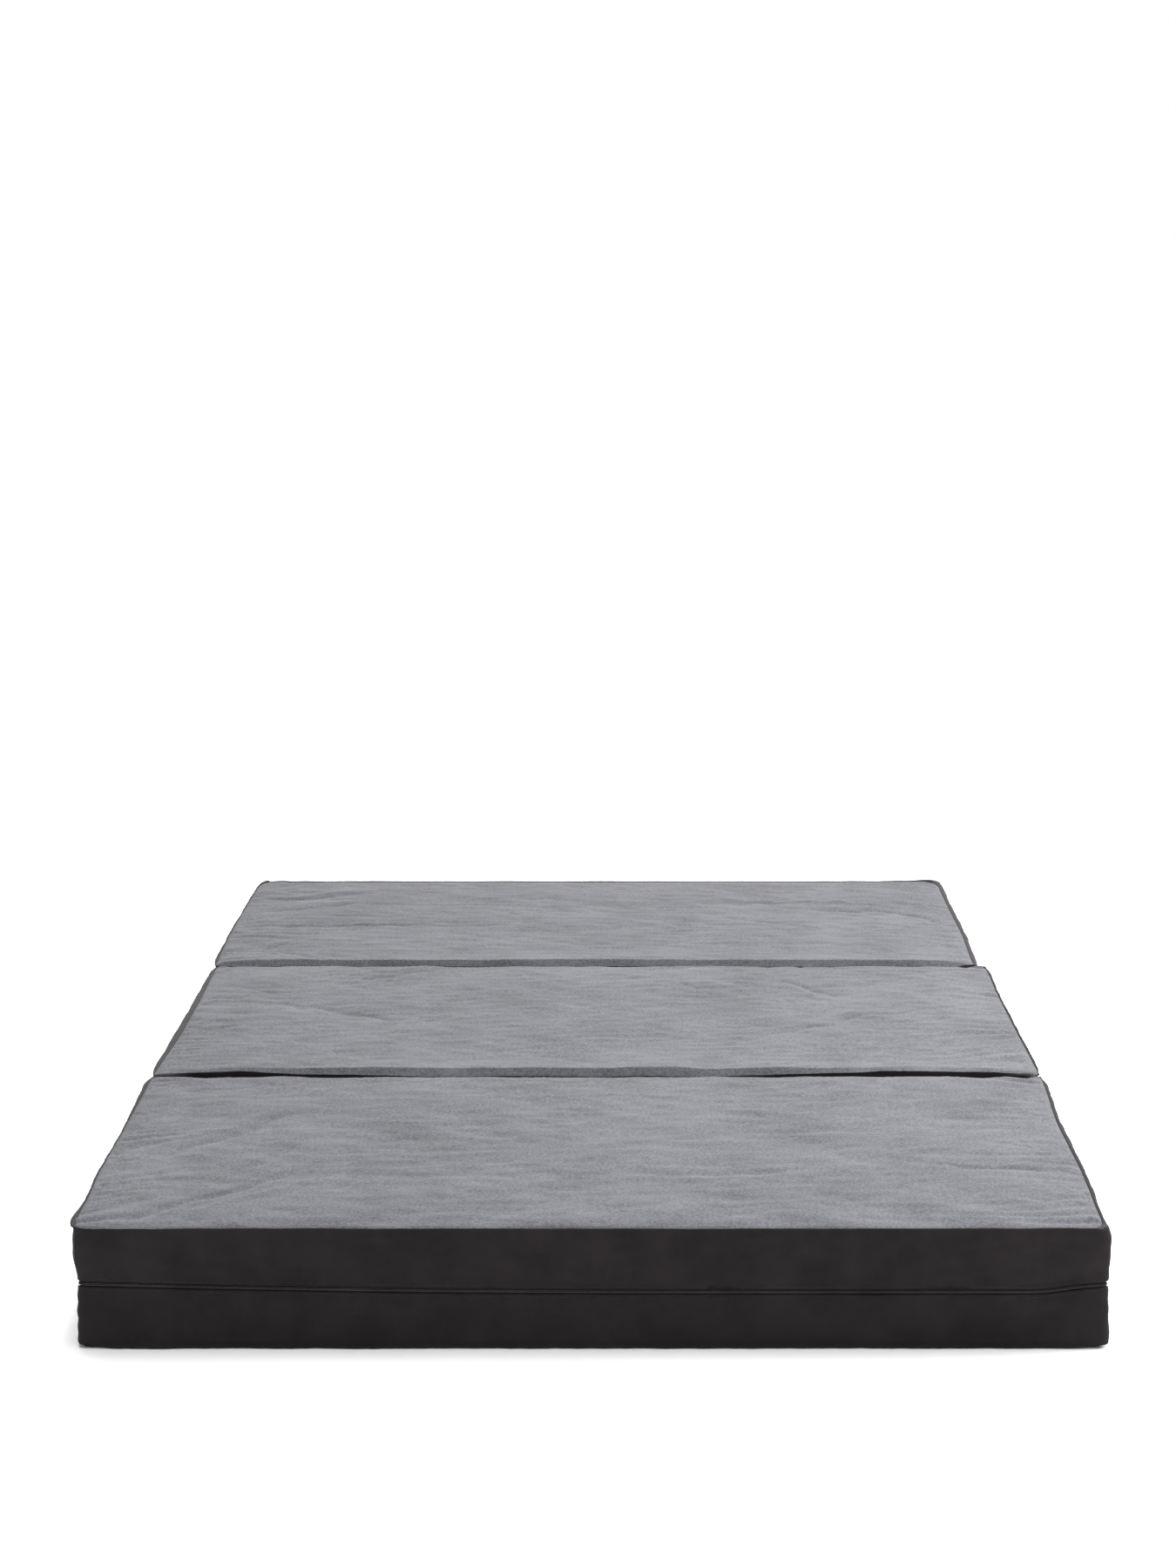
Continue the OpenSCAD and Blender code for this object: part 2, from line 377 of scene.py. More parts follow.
def relief(name, bx, by, x, y):
    """Height of a section's grey top over the floor, in metres.

    It starts at the seam and climbs by the crown as the place leaves each wall. Waves, tucks
    at the side seams and the single folds come on top, all fading out at the seam itself.
    """
    low, high = ENDS_Y[name]
    side = HALF_W - np.abs(bx)
    from_low, from_high = by - low, high - by
    fold_low, fold_high = IS_FOLD[name]
    near_low = 0.55 + 0.45 * rise(from_low, 38 * MM) if fold_low else rise(from_low, 16 * MM)
    near_high = 0.55 + 0.45 * rise(from_high, 38 * MM) if fold_high else rise(from_high, 22 * MM)
    cover = rise(side, 34 * MM) * near_low * near_high
    height = SEAM_Z + CROWN * cover
    seed = 10 * SECTIONS.index(name)
    height = height + 0.9 * MM * cover * waves(seed + 1, 26, 0.10, 0.50, x, y)
    height = height + 0.42 * MM * cover * waves(seed + 2, 40, 0.02, 0.08, 0.45 * x, y)
    left = gathers(seed + 3, 13 * MM, by, side)
    right = gathers(seed + 6, 12 * MM, by, side)
    tucks = np.where(bx < 0, left, right)
    near_seam = rise(side, 3 * MM) * np.exp(-side / (30 * MM))
    height = height + 4.4 * MM * near_seam * tucks
    wide_left = gathers(seed + 13, 44 * MM, by, side)
    wide_right = gathers(seed + 16, 38 * MM, by, side)
    pulls = np.where(bx < 0, wide_left, wide_right)
    height = height + 4.2 * MM * rise(side, 8 * MM) * np.exp(-side / (85 * MM)) * pulls
    end = np.minimum(from_low, from_high)
    end_tucks = gathers(seed + 9, 24 * MM, bx, end)
    height = height + 0.9 * MM * rise(end, 3 * MM) * np.exp(-end / (24 * MM)) * end_tucks
    height = height + cover * fold_lines(x, y, FOLDS[name])
    lift_low, lift_high = EDGE_LIFT[name]
    height = height + lift_low * np.exp(-((from_low / (55 * MM)) ** 2)) * rise(side, 40 * MM)
    return height + lift_high * np.exp(-((from_high / (50 * MM)) ** 2))


# %% [markdown]
# ## How the walls stand
# The black walls lean out a little towards the top and bulge between their seams. They are
# tight against the zip, where its slider has to run. Beside the creases they puff out.

# %% Offsets of the walls
# How far the walls stand out at the top beside each section, in mm, and how far in from there
# the grey top begins: (left, right) at the section's low end, middle and high end
FLARE = {
    "front": ((4.0, -3.0), (11.0, 7.5), (19.0, 17.0)),
    "middle": ((18.0, 16.0), (16.0, 15.0), (16.0, 20.0)),
    "back": ((19.0, 5.0), (22.0, 11.0), (20.0, 15.0)),
}
STRIP = {
    "front": ((5.0, 3.0), (1.5, 6.5), (8.5, 5.5)),
    "middle": ((7.5, 4.0), (11.5, 3.5), (7.5, 5.0)),
    "back": ((6.0, 9.0), (3.0, 8.0), (3.0, 10.0)),
}


def beside(table, bx, by, low, high):
    """A value from a table's row of three, left or right, smoothly along a section's sides."""
    share = (by - low) / (high - low)
    near_low, near_high = smooth(1 - share / 0.38), smooth((share - 0.62) / 0.38)
    left, right = [table[1][k] + (table[0][k] - table[1][k]) * near_low
                   + (table[2][k] - table[1][k]) * near_high for k in (0, 1)]
    return np.where(bx < 0, left, right) * MM


def flare(name, bx, by):
    """How far the side walls stand out at the top."""
    low, high = ENDS_Y[name]
    return beside(FLARE[name], bx, by, low, high)


def ear(name, bx, by):
    """How far the seam sticks out at the front section's left corner, at the very top only."""
    low, high = ENDS_Y[name]
    if name != "front":
        return np.zeros_like(bx)
    return np.where(bx < 0, 9.5, 0.5) * MM * np.exp(-(((by - low - 0.02) / (62 * MM)) ** 2))


SEAM_POWER = 3.4
WALL_POWER = 7.0


def corner_power(name, by, at_seam):
    """How square a corner is: 2 is a circle, and a bigger number is squarer."""
    low, high = ENDS_Y[name]
    fold_low, fold_high = IS_FOLD[name]
    at_low = (SQUARED if fold_low else SEAM_POWER) if at_seam else WALL_POWER
    at_high = (SQUARED if fold_high else SEAM_POWER) if at_seam else WALL_POWER
    return np.where(by < (low + high) / 2, at_low, at_high)


def lean_at(name, by, z):
    """How far an end wall leans back at a height: its lean at the top, in proportion."""
    low, high = ENDS_Y[name]
    lean_low, lean_high = LEAN[name]
    return np.where(by < (low + high) / 2, lean_low, lean_high) * z / TOP_Z


def is_fold_wall(name, by):
    """1 on the half of a section whose end wall faces another section, else 0."""
    low, high = ENDS_Y[name]
    fold_low, fold_high = IS_FOLD[name]
    return np.where(by < (low + high) / 2, float(fold_low), float(fold_high))


def zip_rise(name, bx, by):
    """How far the zip climbs above its straight line near the corners it goes round."""
    low, high = ENDS_Y[name]
    if name == "middle":
        return np.zeros_like(bx)
    from_wall = by - low if ZIP_END[name] < 0 else high - by
    on_left = 10.5 * np.clip((0.15 - bx) / 0.8, 0, 1) ** 2.2
    on_right = 10.0 * smooth((bx - 0.575) / 0.1)
    return (2.3 + on_left + on_right) * MM * (1 - smooth(from_wall / (44 * MM)))


def corner_stand(name, bx, by):
    """How far the side walls stand out where the zip goes round a corner, at every height."""
    low, high = ENDS_Y[name]
    if name == "middle":
        return np.zeros_like(bx)
    from_wall = by - low if ZIP_END[name] < 0 else high - by
    return np.where(bx > 0, 5.5, 2.0) * MM * (1 - smooth(from_wall / (30 * MM)))


# %% [markdown]
# ## The grey velour top
# The panel that is slept on is brushed velour: a knitted cloth with a short pile. It is one
# grid whose outer rows roll down into the creases, where it is sewn to the black wall. At the
# outer walls it ends on top, in a seam a few millimetres in from the edge.

# %% Top panel surface
LIP = 4.0 * MM
# Share of a corner's outward stand that reaches the grey top
TOP_STAND = 0.3


def top_surface(name):
    """Points of a section's top: columns across X, rows along Y.

    The plan is the base rectangle bent to the seam's outline. The height is the relief less
    the drop of the roll, which fades out beside the side seams.
    """
    bx, by, drop = base_grid(name)
    low, high = ENDS_Y[name]
    strip = beside(STRIP[name], bx, by, low, high)
    power = corner_power(name, by, at_seam=True)
    end_off = np.where(is_fold_wall(name, by) > 0, -lean_at(name, by, TOP_Z), -LIP)
    stand = flare(name, bx, by) + ear(name, bx, by) + TOP_STAND * corner_stand(name, bx, by)
    x, y, _, _ = fit_outline(name, bx, by, stand - strip, end_off, power)
    side = HALF_W - np.abs(bx)
    z = relief(name, bx, by, x, y)
    edge = np.minimum(side, np.where(is_fold_wall(name, by) > 0, 1.0, np.minimum(by - low, high - by)))
    z = z - 0.9 * MM * np.exp(-((edge / (2.2 * MM)) ** 2))
    fade = smooth((side - 4 * MM) / (40 * MM))
    if name == "middle":
        narrow = smooth(1.5 - 1.5 * np.abs(bx + 0.06) / 0.56)
        fade = fade * np.where(by < (low + high) / 2, 0.25 + 0.75 * narrow, 1.0)
    z = z - drop * fade
    tuck = gathers(31 + SECTIONS.index(name), 30 * MM, bx, y)
    inward = np.where(by < (low + high) / 2, 1.0, -1.0)
    y = y + inward * 0.8 * MM * tuck * smooth(drop / (8 * MM)) * fade
    return np.stack([x, y, z], axis=-1), bx, by


TOPS = {}
for name in SECTIONS:
    points, bx, by = top_surface(name)
    TOPS[name] = {"points": points, "bx": rim(bx), "by": rim(by), "seam": rim(points)}
    print(name, "top", points.shape, "height", points[..., 2].min(), points[..., 2].max())

# %% [markdown]
# ## The black walls
# The wall above the zip starts at the top seam, curls over the edge as a narrow lip, bulges
# and ends in a turned edge over the zip. The wall below does the same down to the base. Each
# is a profile carried once round the section: a few offsets and heights, joined smoothly.

# %% Wall surfaces
# Each row: offset from the wall in mm, bulge share, height as a share from the slot to the
# seam, and a further height in mm
UPPER_OUTER = np.array([
    (-4.0, 0.0, 1.00, 0.0), (-2.9, 0.0, 1.00, 1.5), (-1.2, 0.1, 1.00, 1.9), (0.3, 0.3, 1.00, 0.4),
    (0.9, 0.5, 0.96, -0.6), (1.2, 0.8, 0.88, 0.0), (1.4, 1.0, 0.72, 0.0), (1.3, 1.0, 0.52, 0.0),
    (1.0, 0.7, 0.32, 0.0), (0.6, 0.3, 0.16, 0.0), (0.25, 0.0, 0.07, 0.0), (0.1, 0.0, 0.02, 0.0),
    (-0.3, 0.0, 0.00, 0.0), (-1.1, 0.0, 0.00, 0.3),
])
UPPER_FOLD = np.array([
    (0.0, 0.0, 1.00, 0.0), (0.1, 0.0, 0.99, 0.0), (0.3, 0.1, 0.97, 0.0), (0.5, 0.2, 0.94, 0.0),
    (0.6, 0.3, 0.90, 0.0), (0.7, 0.3, 0.82, 0.0), (0.8, 0.3, 0.70, 0.0), (0.8, 0.3, 0.52, 0.0),
    (0.7, 0.2, 0.32, 0.0), (0.5, 0.1, 0.16, 0.0), (0.2, 0.0, 0.07, 0.0), (0.1, 0.0, 0.02, 0.0),
    (-0.3, 0.0, 0.00, 0.0), (-1.1, 0.0, 0.00, 0.3),
])
# The same below the zip, with the height as a share from the floor to the slot
LOWER_OUTER = np.array([
    (-4.0, 0.0, 0.0, 0.9), (0.0, 0.0, 0.0, 0.7), (3.2, 0.1, 0.0, 1.2), (3.8, 0.2, 0.0, 3.0),
    (2.9, 0.2, 0.0, 4.8), (2.4, 0.3, 0.0, 6.0), (2.2, 0.4, 0.0, 9.5), (1.6, 0.5, 0.30, 0.0),
    (0.9, 0.4, 0.50, 0.0), (0.6, 0.2, 0.70, 0.0), (0.4, 0.1, 0.86, 0.0), (0.25, 0.0, 0.94, 0.0),
    (0.1, 0.0, 0.98, 0.0), (-0.3, 0.0, 1.0, 0.0), (-1.1, 0.0, 1.0, -0.3),
])
LOWER_FOLD = LOWER_OUTER * np.array([0.3, 0.3, 1.0, 1.0])


def bulge(name, bx, by):
    """Extra bulge of the walls between their seams, from 1 to several millimetres."""
    seed = 40 + SECTIONS.index(name)
    return np.maximum(1.3 + 0.5 * waves(seed, 12, 0.25, 1.2, bx, by), 0.4) * MM


# How far the walls puff out beside a crease, and how far along the section that reaches
PUFF = 4.0 * MM
PUFF_REACH = 35 * MM


def wall(name, outer, fold, foot_z, head_z, rows, upper):
    """Points of a wall: once round the section, by rows along the profile.

    The outer and the fold profile are mixed by how much a place is on a fold wall. The foot
    and head are the heights that the profile's shares lie between.
    """
    bx, by = TOPS[name]["bx"], TOPS[name]["by"]
    swell = bulge(name, bx, by)
    mix = is_fold_wall(name, by)

    def carried(profile):
        """Offsets and heights of one profile at every place round the section."""
        offset = profile[:, None, 0] * MM + profile[:, None, 1] * swell[None]
        height = foot_z + profile[:, None, 2] * (head_z - foot_z) + profile[:, None, 3] * MM
        return through(offset, rows), through(height, rows)

    out_n, out_z = carried(outer)
    fold_n, fold_z = carried(fold)
    end_n = out_n * (1 - mix) + fold_n * mix
    end_z = out_z * (1 - mix) + fold_z * mix
    level = np.linspace(1, 0, rows)[:, None] if upper else np.zeros((rows, 1))
    stand = smooth(level / 0.9) ** 1.5 * flare(name, bx, by)[None] if upper else 0
    low, high = ENDS_Y[name]
    puff_low = np.exp(-(((by - low) / PUFF_REACH) ** 2)) * IS_FOLD[name][0]
    puff_high = np.exp(-(((by - high) / PUFF_REACH) ** 2)) * IS_FOLD[name][1]
    puff = PUFF * smooth(level * 1.6) * (puff_low + puff_high)[None] if upper else 0
    round_x, round_y = bx[None] + np.zeros((rows, 1)), by[None] + np.zeros((rows, 1))
    plain = corner_power(name, by, False)
    if upper:
        power = through(np.stack([corner_power(name, by, True)] + [plain] * 5), rows)
    else:
        power = plain[None] + np.zeros((rows, 1))
    x, y, at_side, at_end = fit_outline(name, round_x, round_y, 0.0, 0.0, power)
    z = at_side * out_z + at_end * end_z
    down = 1 - np.linspace(0, 1, rows)[:, None]
    free = smooth(5 * (level if upper else down))
    crease = 0.55 * MM * waves(53, 30, 0.04, 0.22, x, y, 2.5 * z) * free
    crease = crease + 0.22 * MM * waves(54, 40, 0.012, 0.05, x, y, 0.35 * z) * free
    corner = 4 * at_side * at_end * (1 - mix)
    stand = stand + corner_stand(name, bx, by)[None]
    if upper:
        tip = np.exp(-(((level - 0.95) / 0.09) ** 2))
        side_off = out_n + stand + puff + crease + (ear(name, bx, by)[None] + 1.5 * MM * corner) * tip
        end_off = end_n - lean_at(name, round_y, z) + crease * (1 - 0.8 * mix) + 2.0 * MM * corner * tip
        z = z + 1.4 * MM * corner * tip
    else:
        foot = smooth(1 - np.linspace(0, 1, rows) * 2.5)[:, None]
        side_off = out_n + stand + crease - 4.0 * MM * corner * foot
        end_off = end_n - lean_at(name, round_y, z) + crease * (1 - 0.8 * mix) - 4.0 * MM * corner * foot
        z = z + 4.5 * MM * corner * foot
    x, y, _, _ = fit_outline(name, round_x, round_y, side_off, end_off, power)
    return np.stack([x, y, z], axis=-1)


WALL_ROWS = 44
WALLS = {}
for name in SECTIONS:
    top = TOPS[name]
    bx, by = top["bx"], top["by"]
    zip_z = ZIP_Z + zip_rise(name, bx, by)
    upper = wall(name, UPPER_OUTER, UPPER_FOLD, zip_z + HALF_SLOT, top["seam"][:, 2], WALL_ROWS, True)
    miss = top["seam"] - upper[0]
    pull = (1 - np.linspace(0, 1, WALL_ROWS))[:, None, None] ** 10
    upper = upper + pull * miss[None]
    low, high = ENDS_Y[name]
    past_tape = (by - (low + high) / 2) * -ZIP_END[name] - 0.2905
    slot_low = zip_z - HALF_SLOT + 2 * HALF_SLOT * smooth(past_tape / (9 * MM))
    lower = wall(name, LOWER_OUTER, LOWER_FOLD, 0.0, slot_low, WALL_ROWS, False)
    WALLS[name] = {"upper": upper.transpose(1, 0, 2), "lower": lower.transpose(1, 0, 2), "zip_z": zip_z}
    print(name, "walls", upper.shape, "x", upper[..., 0].max(), "lowest", lower[..., 2].min())

# %% [markdown]
# ## The foam inside
# Under each cover lie two glued layers: firm polyurethane foam below, eased at its foot, and
# memory foam on top, rounded at its upper edge so that the cover can roll over it. Each is a
# closed block: its outline carried up a profile, with a flat face at each end.

# %% Foam blocks
FOAM_INSET = HALF_W - span("front_base_foam", 0)[1]
FOAM_ROUND = 12 * MM


def foam_block(name, node, title, rounded):
    """A closed foam layer: rings of the rounded outline at rising heights, and two caps."""
    low_z, high_z = span(node, 2)
    bx, by = TOPS[name]["bx"][::4], TOPS[name]["by"][::4]
    if rounded:
        angle = np.linspace(0, math.pi / 2, 7)
        inset = np.append(0, FOAM_ROUND * (1 - np.cos(angle)))
        height = np.append(low_z, high_z - FOAM_ROUND * (1 - np.sin(angle)))
    else:
        inset = np.array([6.0, 2.5, 0.5, 0.0, 0.0, 0.6]) * MM
        foot = low_z + np.array([0.0, 1.5, 5.0, 8.0]) * MM
        height = np.append(foot, [high_z - 0.6 * MM, high_z])
    rings = len(height)
    ring_x, ring_y = bx[None] + np.zeros((rings, 1)), by[None] + np.zeros((rings, 1))
    z = height[:, None] + np.zeros_like(ring_x)
    side = -FOAM_INSET - inset[:, None] + np.zeros_like(z)
    end = side - lean_at(name, ring_y, z)
    x, y, _, _ = fit_outline(name, ring_x, ring_y, side, end, 3.0)
    points = np.stack([x, y, z], axis=-1)
    count = len(bx)
    walls = grid_faces(count, rings, wrap_rows=True)
    numbers = np.arange(count) * rings
    caps = [numbers[::-1].tolist(), (numbers + rings - 1).tolist()]
    mesh = bpy.data.meshes.new(title)
    mesh.from_pydata(points.transpose(1, 0, 2).reshape(-1, 3), [], walls.tolist() + caps)
    made = link_mesh(title, mesh)
    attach(made, name + "_section")
    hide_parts(node)
    return made


PIECES = {}
for name in SECTIONS:
    base = foam_block(name, name + "_base_foam", name + "_firm_foam_block", False)
    memory = foam_block(name, name + "_memory_foam", name + "_memory_foam_block", True)
    PIECES[name] = {"firm foam": base, "memory foam": memory}
print("foam blocks:", 2 * len(PIECES))

# %% [markdown]
# ## Cutting and hanging the cover
# The surfaces now become cloth pieces, each hung on its section in place of its CAD part. A list
# gives each piece a finish name and the size that it was cut to: the top panel a little larger than the
# section, and each wall a long strip; neither is used.

# %% Cover pieces
VELOUR_T = 1.5 * MM
WALL_T = 1.1 * MM
SECTION_L = ENDS_Y["front"][1] - ENDS_Y["front"][0]
ROUND = 2 * (2 * HALF_W + SECTION_L)


def base_cloth(name):
    """Points of the panel that lies on the floor, a plain grid bent to the outline."""
    low, high = ENDS_Y[name]
    side = np.array([0.0, 6.0, 16.0, 30.0, 50.0]) * MM
    x = np.concatenate([side - HALF_W, np.linspace(-HALF_W + 0.08, HALF_W - 0.08, 60), HALF_W - side[::-1]])
    y = np.concatenate([low + side, np.linspace(low + 0.08, high - 0.08, 26), high - side[::-1]])
    bx, by = np.meshgrid(x, y, indexing="ij")
    px, py, _, _ = fit_outline(name, bx, by, -2.5 * MM, -2.5 * MM, corner_power(name, by, False))
    edge = np.minimum(HALF_W - np.abs(bx), np.minimum(by - low, high - by))
    lift = 0.5 * MM * (0.5 + 0.5 * np.tanh(waves(61, 20, 0.08, 0.3, px, py))) * rise(edge, 20 * MM)
    return np.stack([px, py, 0.1 * MM + lift], axis=-1)


for name in SECTIONS:
    made = PIECES[name]
    body = name + "_section"
    top = grid_piece(name + "_velour_top", TOPS[name]["points"], thickness=VELOUR_T)
    upper = grid_piece(name + "_upper_wall", WALLS[name]["upper"], wrap_rows=True, flip=True,
                       thickness=WALL_T)
    lower = grid_piece(name + "_lower_wall", WALLS[name]["lower"], wrap_rows=True, thickness=WALL_T)
    base = grid_piece(name + "_base_cloth", base_cloth(name), flip=True, thickness=WALL_T)
    rows = [
        (top, "top_panel", "velour", (2 * HALF_W + 0.02, SECTION_L + 0.03)),
        (upper, "upper_border", "border_cloth", (ROUND, 0.088)),
        (lower, "lower_border", "border_cloth", (ROUND, 0.080)),
        (base, "base_panel", "base_cloth", (2 * HALF_W, SECTION_L)),
    ]
    for piece, node, slot, flat in rows:
        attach(piece, body)
        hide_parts(name + "_" + node)
    made.update({"top": top, "upper": upper, "lower": lower, "base": base})
print("cover pieces:", [p.name for p in PIECES["front"].values()])

# %% [markdown]
# ## Lines that run round a section
# The zip tapes, the teeth and the stitches all follow the wall round three sides. This helper
# takes points along the wall and spaces them evenly, with the direction along the line and
# the direction out of the wall at each point.

# %% Even points along a wall
def zip_walk(name, end_y):
    """Plain rectangle points from one side wall's end, round the zip's wall, to the other's."""
    low, high = ENDS_Y[name]
    centre = (low + high) / 2
    turn = ZIP_END[name]
    wall_y = low if turn < 0 else high
    stop = centre - turn * end_y
    side_y = np.linspace(stop, wall_y, 900)
    across = np.linspace(HALF_W, -HALF_W, 1800)
    bx = np.concatenate([np.full(900, HALF_W), across[1:-1], np.full(900, -HALF_W)])
    by = np.concatenate([side_y, np.full(1798, wall_y), side_y[::-1]])
    return bx, by


def wall_line(name, offset, above_zip, end_y=0.2905):
    """Points on the wall beside the zip, at an offset and a height above its centre line."""
    bx, by = zip_walk(name, end_y)
    z = ZIP_Z + zip_rise(name, bx, by) + above_zip
    side = offset + corner_stand(name, bx, by)
    end = offset - lean_at(name, by, z)
    x, y, _, _ = fit_outline(name, bx, by, side, end, corner_power(name, by, False))
    return np.stack([x, y, z], axis=-1)


def even(points, pitch):
    """The same line with a point every pitch, and the directions along it and out of it."""
    length = np.concatenate([[0], np.cumsum(np.linalg.norm(np.diff(points, axis=0), axis=1))])
    place = np.arange(pitch / 2, length[-1], pitch)
    at = np.stack([np.interp(place, length, points[:, i]) for i in range(3)], axis=-1)
    along = np.gradient(at, axis=0)
    along /= np.linalg.norm(along, axis=1, keepdims=True)
    out = np.cross(along, [0.0, 0.0, 1.0])
    out /= np.linalg.norm(out, axis=1, keepdims=True)
    centre = (points.min(axis=0) + points.max(axis=0)) / 2
    turned = np.sum(out * (at - centre) * np.array([1, 1, 0]), axis=1)
    out = out * np.sign(np.median(turned))
    return at, along, out


def repeat(title, at, along, out, spine, half_along, half_across):
    """Many small bars in one mesh, one at each place.

    The spine is a few points (up, out) in metres. Each becomes a ring of four corners, made
    by half_along along the line and half_across up and out, and the ends are closed.
    """
    up = np.cross(out, along)
    up *= np.sign(up[:, 2:3])
    spine = np.array(spine)
    step = np.gradient(spine, axis=0)
    step /= np.linalg.norm(step, axis=1, keepdims=True)
    side = np.stack([-step[:, 1], step[:, 0]], axis=-1) * half_across
    corner_a = np.array([-1, 1, 1, -1]) * half_along
    corner_b = np.array([-1, -1, 1, 1])
    rise_up = spine[:, None, 0] + corner_b * side[:, None, 0]
    rise_out = spine[:, None, 1] + corner_b * side[:, None, 1]
    points = (at[:, None, None] + along[:, None, None] * corner_a[None, None, :, None]
              + up[:, None, None] * rise_up[None, :, :, None]
              + out[:, None, None] * rise_out[None, :, :, None])
    rings = len(spine)
    ring = np.arange(rings - 1)[:, None] * 4
    k = np.arange(4)[None]
    faces = np.stack([ring + k, ring + (k + 1) % 4, ring + 4 + (k + 1) % 4, ring + 4 + k], -1)
    caps = np.array([[3, 2, 1, 0], [4 * rings - 4, 4 * rings - 3, 4 * rings - 2, 4 * rings - 1]])
    one = np.concatenate([faces.reshape(-1, 4), caps])
    all_faces = (one[None] + (np.arange(len(at)) * 4 * rings)[:, None, None]).reshape(-1, 4)
    mesh = bpy.data.meshes.new(title)
    mesh.from_pydata(points.reshape(-1, 3), [], all_faces.tolist())
    return link_mesh(title, mesh)


def join(parts, title):
    """Makes one piece of several, under a new name."""
    with bpy.context.temp_override(active_object=parts[0], selected_editable_objects=parts,
                                   selected_objects=parts):
        bpy.ops.object.join()
    parts[0].name = title
    parts[0].data.name = title
    return parts[0]


# %% [markdown]
# ## The zips
# A coil zip has two woven tapes, each with a nylon coil sewn along one edge. The coils mesh
# when the slider has passed. Bedding has the coil on the inside, so the tapes swell over it
# and almost meet: from outside the zip is two dark lines, where the turned edges of the walls
# cast a shadow, and a lighter band between them with a fine line of teeth along its middle.
# Each loop of the coil is a small bent bar, one every 2 mm.

# %% Tapes and teeth
TOOTH_PITCH = 2.0 * MM
TAPE_T = 0.6 * MM
# Height from the zip's middle and offset from the wall, across each tape, in mm. The turned
# edge above hides more of its tape from an eye that looks down, so that swelling is narrower.
TAPE_ROWS = {
    "upper": [(0.15, -1.5), (0.4, -1.0), (0.8, -0.8), (1.0, -0.9), (1.2, -1.7), (1.4, -3.1),
              (2.2, -3.5), (3.4, -3.5), (4.8, -3.2), (7.0, -2.0), (13.8, -1.8)],
    "lower": [(0.15, -1.5), (0.5, -1.0), (1.2, -0.8), (1.9, -0.8), (2.3, -1.3), (2.5, -2.4),
              (2.8, -3.3), (3.5, -3.5), (4.8, -3.2), (7.0, -2.0), (13.8, -1.8)],
}
for name in SECTIONS:
    body = name + "_section"
    for half, sign in (("upper", 1), ("lower", -1)):
        lines = [wall_line(name, out * MM, sign * up * MM, end_y=0.301)[::5]
                 for up, out in TAPE_ROWS[half]]
        tape = grid_piece(f"{name}_{half}_woven_tape", np.stack(lines, axis=1), flip=sign > 0,
                          thickness=TAPE_T)
        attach(tape, body)
        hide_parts(f"{name}_{half}_zip_tape")
        PIECES[name][half + " tape"] = tape
    coil = []
    for sign in (1, -1):
        line = wall_line(name, -2.6 * MM, 0.0, end_y=0.2855)
        if sign < 0:
            line = line[3:]
        at, along, out = even(line, TOOTH_PITCH)
        if sign < 0:
            at = at + along * TOOTH_PITCH / 2
        spine = np.array([(1.9, -0.1), (1.5, 0.3), (0.7, 0.5), (-0.1, 0.3)]) * MM * np.array([sign, 1])
        coil.append(repeat(f"{name}_coil_{sign}", at, along, out, spine, 0.5 * MM, 0.36 * MM))
    teeth = join(coil, name + "_coil_teeth")
    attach(teeth, body)
    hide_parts(name + "_zip_chain")
    PIECES[name]["teeth"] = teeth
    print(name, "teeth faces", len(teeth.data.polygons))

# %% [markdown]
# ## Stitches
# A row of black thread above the zip and one below it hold the walls' turned edges to the
# tapes. Each stitch is a short bar whose ends dip into the cloth.

# %% Rows of stitches
STITCH_PITCH = 4.6 * MM


def stitch_row(title, points, lift):
    """Stitches along a line of points: bars that arch out of the cloth by lift."""
    at, along, out = even(points, STITCH_PITCH)
    up = np.cross(out, along)
    half = STITCH_PITCH * 0.36
    spine = np.array([(-half, -0.35 * MM), (-0.5 * half, lift), (0.5 * half, lift), (half, -0.35 * MM)])
    return repeat(title, at, up, out, spine, 0.24 * MM, 0.22 * MM)


for name in SECTIONS:
    rows = []
    bx, by = TOPS[name]["bx"], TOPS[name]["by"]
    low, high = ENDS_Y[name]
    on_zip = (by - (low + high) / 2) * -ZIP_END[name] < 0.286
    start = int(np.flatnonzero(~on_zip)[-1]) + 1
    for half, sign in (("upper", 1), ("lower", -1)):
        surface = WALLS[name][half]
        level = np.abs(surface[..., 2] - (WALLS[name]["zip_z"] + sign * 7.6 * MM)[:, None])
        row = surface[np.arange(len(bx)), level.argmin(axis=1)]
        order = np.roll(np.arange(len(bx)), -start)
        line = row[order[on_zip[order]]].copy()
        kernel = np.ones(9) / 9
        for axis in range(3):
            line[4:-4, axis] = np.convolve(line[:, axis], kernel, mode="valid")
        rows.append(stitch_row(f"{name}_{half}_thread", line, 0.35 * MM))
    thread = join(rows, name + "_zip_stitches")
    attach(thread, name + "_section")
    PIECES[name]["thread"] = thread
    print(name, "stitches", len(thread.data.polygons) // 14)

# %% [markdown]
# ## The cloth hinges
# Two strips of cloth join the sections. One is sewn low in the first crease, so that it folds
# base to base. The other lies high in the second crease, so that it folds top to top. Each
# hangs as a narrow loop with a leg on either wall, which leaves it slack enough to open out.

# %% Hinge cloths
HINGE_X = span("base_hinge_web", 0)[1]


